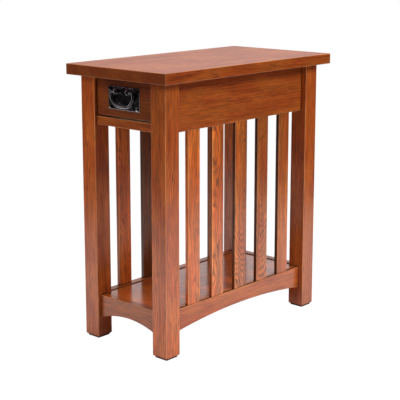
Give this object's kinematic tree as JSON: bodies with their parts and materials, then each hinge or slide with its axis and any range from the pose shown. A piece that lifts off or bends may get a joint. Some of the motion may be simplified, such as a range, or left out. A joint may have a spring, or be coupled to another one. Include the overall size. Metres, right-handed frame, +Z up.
{
  "type": "magazine table",
  "caption": "Narrow Mission style side table with an inset drawer and bail pull over a slatted, open-ended magazine rack and a low shelf.",
  "frame": {"origin": "on the floor, under the middle of the top", "axes": "+Z up, -Y towards the end with the drawer, +X to the right when facing that end"},
  "size_m": [0.294, 0.5576, 0.61],
  "materials": {
    "oak_top": "reddish brown stained oak, satin lacquer",
    "oak_frame": "reddish brown stained oak, satin lacquer",
    "oak_slats": "orange brown stained flat-sawn oak, satin lacquer",
    "inner_wood": "clear sealed secondary wood",
    "black_iron": "hammered, black lacquered",
    "glide": "dark brown glide pad",
    "steel": "zinc plated screws"
  },
  "bodies": {
    "carcase": {"apron_back": "oak_frame", "apron_left": "oak_frame", "apron_right": "oak_frame", "drawer_guide_left": "inner_wood", "drawer_guide_right": "inner_wood", "drawer_kicker_left": "inner_wood", "drawer_kicker_right": "inner_wood", "drawer_rail": "oak_frame", "drawer_runner_left": "inner_wood", "drawer_runner_right": "inner_wood", "drawer_stop": "inner_wood", "foot_pad_back_left": "glide", "foot_pad_back_right": "glide", "foot_pad_front_left": "glide", "foot_pad_front_right": "glide", "leg_back_left": "oak_frame", "leg_back_right": "oak_frame", "leg_front_left": "oak_frame", "leg_front_right": "oak_frame", "lower_rail_back": "oak_frame", "lower_rail_front": "oak_frame", "lower_rail_left": "oak_frame", "lower_rail_right": "oak_frame", "shelf": "oak_frame", "shelf_cleat_left": "inner_wood", "shelf_cleat_right": "inner_wood", "slat_left_1": "oak_slats", "slat_left_2": "oak_slats", "slat_left_3": "oak_slats", "slat_left_4": "oak_slats", "slat_left_5": "oak_slats", "slat_right_1": "oak_slats", "slat_right_2": "oak_slats", "slat_right_3": "oak_slats", "slat_right_4": "oak_slats", "slat_right_5": "oak_slats", "table_top": "oak_top", "top_screws": "steel"},
    "drawer": {"drawer_back": "inner_wood", "drawer_bottom": "inner_wood", "drawer_front": "oak_frame", "drawer_side_left": "inner_wood", "drawer_side_right": "inner_wood", "pull_plate": "black_iron", "pull_post_left": "black_iron", "pull_post_right": "black_iron", "pull_screws": "steel", "pull_tacks": "black_iron"},
    "bail": {"bail": "black_iron"}
  },
  "joints": [
    {"name": "drawer_slide", "type": "slide", "parent": "carcase", "child": "drawer", "axis": [0, -1, 0], "range_m": [0, 0.33]},
    {"name": "bail_swing", "type": "hinge", "parent": "drawer", "child": "bail", "pos_m": [0, -0.25585, 0.559], "axis": [-1, 0, 0], "range_deg": [0, 135]}
  ]
}
